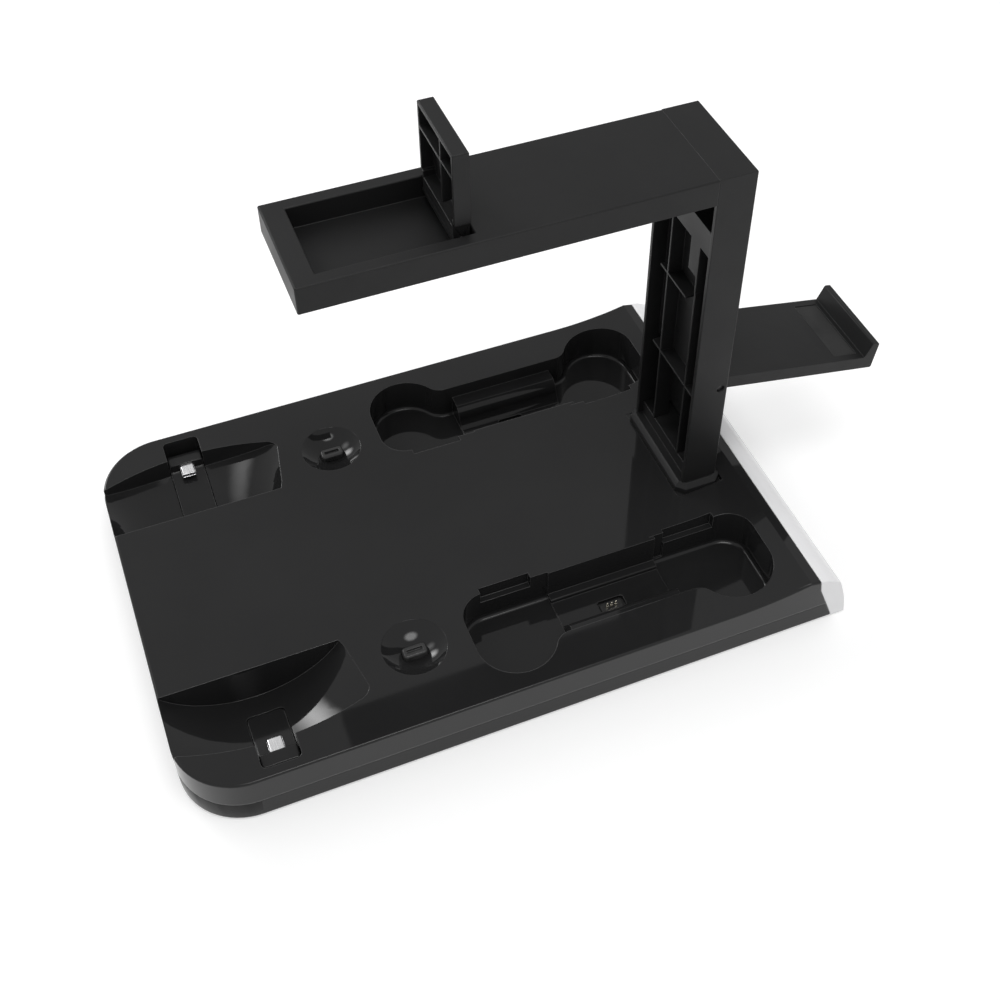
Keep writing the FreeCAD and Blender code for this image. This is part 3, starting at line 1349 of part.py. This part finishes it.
disc(sketch, z.flap_pin_x, z.flap_pin_z, z.flap_pin_radius + z.running_gap)
pocket(arm, sketch, (z.flap_pin_half + z.pin_end_gap) * 2, both_ways=True)

cover = new_body("arm_cover")
parts.append(cover)
box_pad(cover, "cover_plate", z.hollow_left + z.cover_gap, z.hollow_right - z.cover_gap,
        -z.hollow_half + z.cover_gap, z.hollow_half - z.cover_gap, z.arm_bottom, cover_top)
for number, (x, y) in enumerate(cover_screw_places):
    disc_cut(cover, f"cover_hole_{number}", x, y, loose_radius, z.arm_bottom, cover_top)
    disc_cut(cover, f"cover_sink_{number}", x, y, sink_radius, z.arm_bottom,
             z.arm_bottom + z.screw_head_height)
cover_screw = screw_body("cover_screw", z.cover_screw_length)
cover_screw_spots = [vec(x, y, z.arm_bottom) for x, y in cover_screw_places]
parts.append(copies_of(cover_screw, "arm_cover_screws", cover_screw_spots))

# Flap and its pin

flap = new_body("arm_flap")
parts.append(flap)
side = new_sketch(flap, "XZ_Plane", "flap_barrel")
disc(side, z.flap_pin_x, z.flap_pin_z, z.flap_barrel_radius)
pad(flap, side, z.flap_neck_half * 2, both_ways=True)
box_pad(flap, "flap_neck", z.flap_face_left, z.flap_face_right, -z.flap_neck_half, z.flap_neck_half,
        z.flap_pin_z, z.flap_neck_top + z.overlap)
box_pad(flap, "flap_plate", z.flap_face_left, z.flap_face_right, -z.flap_half, z.flap_half, z.flap_neck_top,
        z.flap_top)
round_edges(flap, lambda e: at_height(e, z.flap_top), z.flap_edge)
flap_cut_right = z.flap_face_right - z.flap_wall
neck_half_inside = z.flap_neck_half - z.flap_wall
plate_half_inside = z.flap_half - z.flap_wall
cell_low = z.flap_neck_top + z.flap_wall
box_cut(flap, "flap_neck_cell", z.flap_face_left, flap_cut_right, -neck_half_inside, neck_half_inside,
        z.flap_neck_top - z.flap_wall, cell_low + z.overlap)
for column_number, (near, far) in enumerate((
    (-plate_half_inside, -z.flap_rib_y - z.flap_rib_half),
    (z.flap_rib_half - z.flap_rib_y, plate_half_inside),
)):
    for row_number, (low, high) in enumerate((
        (cell_low, z.flap_rib_z - z.flap_rib_half),
        (z.flap_rib_z + z.flap_rib_half, z.flap_top - z.flap_wall),
    )):
        box_cut(flap, f"flap_cell_{column_number}_{row_number}", z.flap_face_left, flap_cut_right, near, far,
                low, high)
sketch = new_sketch(flap, "XZ_Plane", "flap_bore")
disc(sketch, z.flap_pin_x, z.flap_pin_z, z.flap_pin_radius + z.running_gap)
pocket(flap, sketch, (z.flap_half + z.overlap) * 2, both_ways=True)

flap_pin = new_body("flap_hinge_pin")
parts.append(flap_pin)
sketch = new_sketch(flap_pin, "XZ_Plane", "flap_pin_outline")
disc(sketch, z.flap_pin_x, z.flap_pin_z, z.flap_pin_radius)
pad(flap_pin, sketch, z.flap_pin_half * 2, both_ways=True)

# Rear bracket, drawn level at its hinge and then turned down to its rest

bracket = new_body("rear_bracket")
side = new_sketch(bracket, "XZ_Plane", "bracket_side")
outline(side, [
    (0, -z.bracket_lower),
    (z.bracket_length, -z.bracket_lower),
    (z.bracket_lip_top_outer, z.bracket_lip_height),
    (z.bracket_lip_top_inner, z.bracket_lip_height),
    (z.bracket_lip_inner, z.bracket_upper),
    (0, z.bracket_upper),
])
pad(bracket, side, z.bracket_half * 2, both_ways=True)
sketch = new_sketch(bracket, "XZ_Plane", "bracket_knuckle")
disc(sketch, 0, 0, z.bracket_upper)
pad(bracket, sketch, z.bracket_half * 2, both_ways=True)
round_edges(
    bracket,
    lambda e: e.BoundBox.YLength > z.bracket_half.value
    and e.BoundBox.XMin > z.bracket_lip_inner.value + 0.1,
    z.bracket_lip_round,
)
box_cut(bracket, "pad_recess", z.bracket_pad_start - z.snug_gap, z.bracket_pad_end + z.snug_gap,
        -z.bracket_pad_half - z.snug_gap, z.bracket_pad_half + z.snug_gap,
        z.bracket_upper - z.bracket_pad_depth, z.bracket_upper)
sketch = new_sketch(bracket, "XZ_Plane", "bracket_bore")
disc(sketch, 0, 0, z.bracket_pin_radius + z.running_gap)
pocket(bracket, sketch, (z.bracket_half + z.overlap) * 2, both_ways=True)

grip = new_body("bracket_pad")
box_pad(grip, "grip_plate", z.bracket_pad_start, z.bracket_pad_end, -z.bracket_pad_half, z.bracket_pad_half,
        z.bracket_upper - z.bracket_pad_depth, z.bracket_upper - z.bracket_pad_depth + z.bracket_pad_rise)

rear_pin = new_body("rear_hinge_pin")
parts.append(rear_pin)
sketch = new_sketch(rear_pin, "XZ_Plane", "rear_pin_outline")
disc(sketch, z.bracket_pin_x, z.bracket_pin_z, z.bracket_pin_radius)
pad(rear_pin, sketch, z.bracket_pin_half * 2, both_ways=True)

# Placing, checking and writing

for piece in parts + mirrored:
    piece.setExpression("Placement.Base.x", f"-{z.centre_offset.text}")
for piece in (bracket, grip):
    piece.Placement.Rotation = FreeCAD.Rotation(FreeCAD.Vector(0, 1, 0), z.bracket_slope.value)
    piece.setExpression("Placement.Base.x", (z.bracket_pin_x - z.centre_offset).text)
    piece.setExpression("Placement.Base.z", z.bracket_pin_z.text)
    parts.append(piece)
for piece in mirrored:
    twin = mirror_of(piece, piece.Name.replace("back", "front"))
    parts += [piece, twin]
doc.recompute()

for item in doc.Objects:
    bad = [word for word in item.State if word in ("Invalid", "Error")]
    if bad:
        raise SystemExit(f"{item.Name}: {item.State}")
os.makedirs("parts", exist_ok=True)
for piece in parts:
    shape = piece.Shape
    if shape.isNull() or not shape.isValid():
        raise SystemExit(f"{piece.Label}: shape is not sound")
    shape.exportStep(f"parts/{piece.Label}.step")
    box = shape.BoundBox
    corners = (box.XMin, box.XMax, box.YMin, box.YMax, box.ZMin, box.ZMax)
    print(piece.Label, len(shape.Solids), round(shape.Volume), [round(value, 1) for value in corners])
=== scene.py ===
import math

import bpy
from mathutils import Matrix, Vector

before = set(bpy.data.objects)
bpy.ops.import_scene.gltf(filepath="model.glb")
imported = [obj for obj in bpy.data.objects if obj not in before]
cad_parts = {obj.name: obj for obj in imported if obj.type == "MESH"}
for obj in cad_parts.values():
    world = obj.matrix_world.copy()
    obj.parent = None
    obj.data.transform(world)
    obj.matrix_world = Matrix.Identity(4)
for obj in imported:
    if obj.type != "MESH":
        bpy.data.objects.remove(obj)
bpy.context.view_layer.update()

MM = 0.001

# Camera of the photograph, in the part's own frame
CAMERA_PLACE = Vector((-190.1, -487.8, 650.2)) * MM
CAMERA_RIGHT = Vector((0.92747, -0.37390, 0.00037))
CAMERA_DOWN = Vector((-0.26738, -0.66395, -0.69834))
CAMERA_AHEAD = Vector((0.26136, 0.64759, -0.71576))
CAMERA_SENSOR = 36
CAMERA_LENS = 51.34
CAMERA_SHIFT = (-0.0201, -0.1019)
CAMERA_NEAR = 0.01
CAMERA_FAR = 60

# Strength of the world behind the part and in front of it.
# The turn is how far along Y, either way, one has become the other.
WORLD_BACK = 0.6
WORLD_FRONT = 0.66
WORLD_TURN = 0.7

# Panel lights, in metres and watts. Edge is the distance from the middle at which a panel starts to fade,
# as a share of its size.
LIGHTS = [
    {"name": "panel", "place": (0.0, -0.42, 1.55), "width": 1.1, "depth": 0.7, "power": 17, "edge": 0.2},
    {"name": "key", "place": (-0.80, 0.74, 1.20), "width": 0.7, "depth": 0.7, "power": 5, "edge": 0.0},
    {"name": "low", "place": (-0.64, 1.27, 0.86), "width": 0.8, "depth": 0.8, "power": 25, "edge": 0.0},
]

FLOOR_REACH = 12
FLOOR_COLOUR = 0.72
FLOOR_ROUGHNESS = 0.9
FLOOR_LIFT = 0.4

# Rounding that edges get, in the shading (reach) and in the mesh (width)
ROUND_REACH = 0.6 * MM
WIDE_ROUND_REACH = 1.3 * MM
ROUND_SAMPLES = 8
EDGE_WIDTH = 0.25 * MM
EDGE_SEGMENTS = 2
EDGE_ANGLE = math.radians(32)
WELD_REACH = 0.001 * MM

# Cosine of the angle that the rounding turns the normal by,
# where the painted highlight along an edge starts and where it is full
PAINTED_HIGHLIGHT_START = 0.9
PAINTED_HIGHLIGHT_FULL = 0.75

# Part of a noise's range that is spread over the range of a colour or a roughness
NOISE_LOW = 0.35
NOISE_HIGH = 0.65

# Size of the patterns, as noise scales per metre, and the height of their relief
CLOUD_SCALE = 18
PATCH_SCALE = 35
LINE_SCALE = 2500
LINE_HEIGHT = 0.001 * MM
RUBBER_GRAIN = 2500
BOARD_LANES = 220
RELIEF = 0.03 * MM

# Darkest and lightest colour of each finish
BLACK = ((0.0145, 0.0145, 0.0148), (0.0165, 0.0165, 0.0168))
DULL_BLACK = ((0.009, 0.009, 0.0093), (0.0115, 0.0115, 0.0118))
BLOCK_BLACK = ((0.02, 0.02, 0.02), (0.03, 0.03, 0.03))
WHITE = ((0.88, 0.88, 0.89), (0.92, 0.92, 0.93))
RUBBER_BLACK = ((0.012, 0.012, 0.012), (0.02, 0.02, 0.02))
BOARD_GREEN = ((0.004, 0.045, 0.018), (0.01, 0.09, 0.035))
BRIGHT_STEEL = ((0.80, 0.80, 0.81), (0.92, 0.92, 0.93))
PALE_GOLD = ((0.86, 0.80, 0.66), (0.95, 0.91, 0.80))
PLAIN_STEEL = ((0.42, 0.42, 0.43), (0.55, 0.55, 0.56))


class Graph:
    """A material's node tree with short calls for the nodes used here."""

    def __init__(self, name):
        self.material = bpy.data.materials.new(name)
        self.material.use_nodes = True
        self.tree = self.material.node_tree
        self.tree.nodes.clear()
        self.out = self.add("ShaderNodeOutputMaterial")
        self.shader = self.add("ShaderNodeBsdfPrincipled")
        self.join(self.shader, "BSDF", self.out, "Surface")

    def add(self, kind, **values):
        node = self.tree.nodes.new(kind)
        for key, value in values.items():
            node.inputs[key].default_value = value
        return node

    def join(self, source, output, target, socket):
        self.tree.links.new(source.outputs[output], target.inputs[socket])

    def calculate(self, kind, operation, first, second):
        """A maths node of two inputs, each given as a node and the name of its output."""
        node = self.add(kind)
        node.operation = operation
        self.join(*first, node, 0)
        self.join(*second, node, 1)
        return node

    def noise(self, scale, detail=2.0, stretch=None):
        """Noise by the position in the object, in metres, so that grain keeps its real size."""
        node = self.add("ShaderNodeTexNoise", Scale=scale, Detail=detail)
        where = self.add("ShaderNodeTexCoord")
        if stretch is None:
            self.join(where, "Object", node, "Vector")
        else:
            mapping = self.add("ShaderNodeMapping", Scale=stretch)
            self.join(where, "Object", mapping, "Vector")
            self.join(mapping, "Vector", node, "Vector")
        return node

    def roughen(self, source, low, high):
        """Spread a noise over a range of roughness."""
        node = self.add("ShaderNodeMapRange")
        node.inputs["From Min"].default_value = NOISE_LOW
        node.inputs["From Max"].default_value = NOISE_HIGH
        node.inputs["To Min"].default_value = low
        node.inputs["To Max"].default_value = high
        self.join(source, "Fac", node, "Value")
        self.join(node, "Result", self.shader, "Roughness")

    def colour(self, source, colours, low=NOISE_LOW, high=NOISE_HIGH):
        """Spread a noise between two colours."""
        ramp = self.add("ShaderNodeValToRGB")
        for step, place, colour in zip(ramp.color_ramp.elements, (low, high), colours):
            step.position = place
            step.color = (*colour, 1)
        self.join(source, "Fac", ramp, "Fac")
        self.join(ramp, "Color", self.shader, "Base Color")
        return ramp

    def bump(self, source, height, reach=ROUND_REACH):
        """Fine relief on top of edges that are rounded in the shading."""
        node = self.add("ShaderNodeBump", Strength=1.0, Distance=height)
        rounding = self.add("ShaderNodeBevel", Radius=reach)
        rounding.samples = ROUND_SAMPLES
        self.join(rounding, "Normal", node, "Normal")
        self.join(source, "Fac", node, "Height")
        self.join(node, "Normal", self.shader, "Normal")
        return rounding

    def paint_edge_highlight(self, rounding, colour, light):
        """Paint a highlight into the colour: lighten it in a thin line along the edges, where the rounding
        turns the normal.
        """
        surface = self.add("ShaderNodeNewGeometry")
        normals = (surface, "Normal"), (rounding, "Normal")
        turn = self.calculate("ShaderNodeVectorMath", "DOT_PRODUCT", *normals)
        amount = self.add("ShaderNodeMapRange")
        amount.inputs["From Min"].default_value = PAINTED_HIGHLIGHT_START
        amount.inputs["From Max"].default_value = PAINTED_HIGHLIGHT_FULL
        self.join(turn, "Value", amount, "Value")
        mix = self.add("ShaderNodeMix")
        mix.data_type = "RGBA"
        self.join(amount, "Result", mix, "Factor")
        dark, pale = [socket for socket in mix.inputs if socket.type == "RGBA"]
        # The pale colour is the painted highlight along the edges
        pale.default_value = (light, light, light, 1)
        result = next(socket for socket in mix.outputs if socket.type == "RGBA")
        self.tree.links.new(colour.outputs["Color"], dark)
        self.tree.links.new(result, self.shader.inputs["Base Color"])


def plastic(name, colours, roughness, grain_scale, grain_height, shine=0.5, painted_edge_highlight=None,
            reach=ROUND_REACH):
    """Moulded plastic: cloudy colour, handled patches in its gloss, a fine mould grain, and, when given, a
    painted highlight along the edges.
    """
    graph = Graph(name)
    colour = graph.colour(graph.noise(CLOUD_SCALE, 4), colours)
    graph.roughen(graph.noise(PATCH_SCALE, 5), *roughness)
    rounding = graph.bump(graph.noise(grain_scale), grain_height * MM, reach)
    # Painted highlight: the colour is lightened along the rounded edges
    if painted_edge_highlight:
        graph.paint_edge_highlight(rounding, colour, painted_edge_highlight)
    graph.shader.inputs["Specular IOR Level"].default_value = shine
    return graph.material


def metal(name, colours, roughness, stretch):
    """Drawn metal: fine lines along one direction in both gloss and surface."""
    graph = Graph(name)
    lines = graph.noise(LINE_SCALE, 3, stretch)
    graph.colour(lines, colours)
    graph.roughen(lines, *roughness)
    graph.bump(lines, LINE_HEIGHT)
    graph.shader.inputs["Metallic"].default_value = 1.0
    return graph.material


def rubber(name):
    """Dull rubber with a coarse grain."""
    graph = Graph(name)
    graph.colour(graph.noise(40, 4), RUBBER_BLACK)
    graph.roughen(graph.noise(60, 4), 0.6, 0.8)
    graph.bump(graph.noise(RUBBER_GRAIN), RELIEF)
    return graph.material


def circuit_board(name):
    """Green board with lanes of traces along its length."""
    graph = Graph(name)
    along = (1, 6, 1)
    graph.colour(graph.noise(BOARD_LANES, 0, along), BOARD_GREEN, 0.45, 0.5)
    graph.roughen(graph.noise(300), 0.25, 0.4)
    graph.bump(graph.noise(BOARD_LANES, 0, along), RELIEF)
    return graph.material


def make_materials():
    return {
        # The number after the shine is how light the painted highlight along the edges is
        "mirror": plastic("mirror_black", BLACK, (0.03, 0.06), 900, 0.0006, 0.27, 0.1),
        "gloss": plastic("gloss_black", BLACK, (0.07, 0.12), 1200, 0.001, 0.18, 0.1),
        "carrier": plastic("carrier_black", BLACK, (0.07, 0.12), 1200, 0.001, 0.27, 0.14, WIDE_ROUND_REACH),
        "satin": plastic("satin_black", DULL_BLACK, (0.42, 0.5), 2600, 0.006, 0.25, 0.06),
        "white": plastic("white_gloss", WHITE, (0.08, 0.14), 1100, 0.001),
        "block": plastic("block_black", BLOCK_BLACK, (0.25, 0.35), 3000, 0.004),
        "plug": metal("plug_steel", BRIGHT_STEEL, (0.2, 0.32), (1, 0.05, 1)),
        "pin": metal("pin_gold", PALE_GOLD, (0.2, 0.3), (1, 1, 0.05)),
        "steel": metal("screw_steel", PLAIN_STEEL, (0.2, 0.35), (1, 1, 0.2)),
        "rubber": rubber("black_rubber"),
        "board": circuit_board("green_board"),
    }


def finish_of(node):
    """Which material a CAD node gets."""
    if node == "base_top_shell":
        return "mirror"
    if node == "base_bottom_shell":
        return "gloss"
    if node.startswith("plug_carrier"):
        return "carrier"
    if node == "end_trim":
        return "white"
    if node in ("rubber_feet", "bracket_pad"):
        return "rubber"
    if node.startswith(("cradle_plug", "power_inlet")):
        return "plug"
    if node.startswith("contact_pin"):
        return "pin"
    if node.startswith(("pin_block", "dish_connector")) or node in ("arm_cover_screws", "rear_hinge_pin"):
        return "block"
    if "board" in node and "screw" not in node:
        return "board"
    if "screw" in node or "pin" in node:
        return "steel"
    return "satin"


def dress(materials):
    for name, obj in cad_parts.items():
        obj.data.materials.clear()
        obj.data.materials.append(materials[finish_of(name)])


def soften(obj):
    """Round the moulded edges a little and smooth the curved faces, without touching the CAD mesh."""
    weld = obj.modifiers.new("weld", "WELD")
    weld.merge_threshold = WELD_REACH
    bevel = obj.modifiers.new("edge", "BEVEL")
    bevel.width = EDGE_WIDTH
    bevel.segments = EDGE_SEGMENTS
    bevel.limit_method = "ANGLE"
    bevel.angle_limit = EDGE_ANGLE
    bevel.harden_normals = True


def make_floor():
    """Pale floor that the camera and reflections see lifted to white, with its shadows left in it."""
    corners = [(-FLOOR_REACH, -FLOOR_REACH, 0), (FLOOR_REACH, -FLOOR_REACH, 0),
               (FLOOR_REACH, FLOOR_REACH, 0), (-FLOOR_REACH, FLOOR_REACH, 0)]
    mesh = bpy.data.meshes.new("floor")
    mesh.from_pydata(corners, [], [(0, 1, 2, 3)])
    floor = bpy.data.objects.new("floor", mesh)
    bpy.context.scene.collection.objects.link(floor)
    graph = Graph("floor")
    graph.shader.inputs["Base Color"].default_value = (FLOOR_COLOUR, FLOOR_COLOUR, FLOOR_COLOUR, 1)
    graph.shader.inputs["Roughness"].default_value = FLOOR_ROUGHNESS
    path = graph.add("ShaderNodeLightPath")
    bounced = (path, "Is Glossy Ray"), (path, "Is Transmission Ray")
    mirrored = graph.calculate("ShaderNodeMath", "MAXIMUM", *bounced)
    seen = graph.calculate("ShaderNodeMath", "MAXIMUM", (path, "Is Camera Ray"), (mirrored, "Value"))
    lift = graph.add("ShaderNodeEmission", Strength=FLOOR_LIFT)
    shown = graph.add("ShaderNodeMixShader")
    graph.join(seen, "Value", shown, "Fac")
    graph.join(lift, "Emission", shown, 2)
    total = graph.add("ShaderNodeAddShader")
    graph.join(graph.shader, "BSDF", total, 0)
    graph.join(shown, "Shader", total, 1)
    graph.join(total, "Shader", graph.out, "Surface")
    mesh.materials.append(graph.material)


def make_world():
    """Pale studio, a little brighter in front of the part than behind it."""
    world = bpy.data.worlds.new("studio")
    bpy.context.scene.world = world
    world.use_nodes = True
    tree = world.node_tree
    sky = tree.nodes["Background"]
    sky.inputs["Color"].default_value = (1, 1, 1, 1)
    where = tree.nodes.new("ShaderNodeTexCoord")
    parts = tree.nodes.new("ShaderNodeSeparateXYZ")
    level = tree.nodes.new("ShaderNodeMapRange")
    level.inputs["From Min"].default_value = WORLD_TURN
    level.inputs["From Max"].default_value = -WORLD_TURN
    level.inputs["To Min"].default_value = WORLD_BACK
    level.inputs["To Max"].default_value = WORLD_FRONT
    tree.links.new(where.outputs["Generated"], parts.inputs["Vector"])
    tree.links.new(parts.outputs["Y"], level.inputs["Value"])
    tree.links.new(level.outputs["Result"], sky.inputs["Strength"])


def soft_panel(name, place, width, depth, power, edge):
    """Panel light that looks at the middle of the part and fades out towards its rim."""
    data = bpy.data.lights.new(name, "AREA")
    data.shape = "RECTANGLE"
    data.size = width
    data.size_y = depth
    data.energy = power
    data.use_nodes = True
    tree = data.node_tree
    glow = tree.nodes["Emission"]
    where = tree.nodes.new("ShaderNodeNewGeometry")
    off_middle = tree.nodes.new("ShaderNodeVectorMath")
    off_middle.operation = "DISTANCE"
    off_middle.inputs[1].default_value = (0.5, 0.5, 0)
    fade = tree.nodes.new("ShaderNodeMapRange")
    fade.interpolation_type = "SMOOTHSTEP"
    fade.inputs["From Min"].default_value = edge
    fade.inputs["From Max"].default_value = 0.5
    fade.inputs["To Min"].default_value = 1
    fade.inputs["To Max"].default_value = 0
    tree.links.new(where.outputs["Parametric"], off_middle.inputs[0])
    tree.links.new(off_middle.outputs["Value"], fade.inputs["Value"])
    tree.links.new(fade.outputs["Result"], glow.inputs["Strength"])
    light = bpy.data.objects.new(name, data)
    light.location = place
    light.rotation_euler = (-Vector(place)).to_track_quat("-Z", "Y").to_euler()
    bpy.context.scene.collection.objects.link(light)


def make_camera():
    data = bpy.data.cameras.new("camera")
    data.sensor_width = CAMERA_SENSOR
    data.lens = CAMERA_LENS
    data.shift_x, data.shift_y = CAMERA_SHIFT
    data.clip_start = CAMERA_NEAR
    data.clip_end = CAMERA_FAR
    camera = bpy.data.objects.new("camera", data)
    turn = Matrix((CAMERA_RIGHT, -CAMERA_DOWN, -CAMERA_AHEAD)).transposed()
    camera.matrix_world = Matrix.Translation(CAMERA_PLACE) @ turn.to_4x4()
    bpy.context.scene.collection.objects.link(camera)
    bpy.context.scene.camera = camera


make_camera()
make_world()
for light in LIGHTS:
    soft_panel(**light)
make_floor()
dress(make_materials())

# The upper shell keeps the exact normals of its CAD faces, so that its reflections stay smooth
for name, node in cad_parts.items():
    if name != "base_top_shell":
        soften(node)

bpy.context.scene.view_settings.view_transform = "Standard"
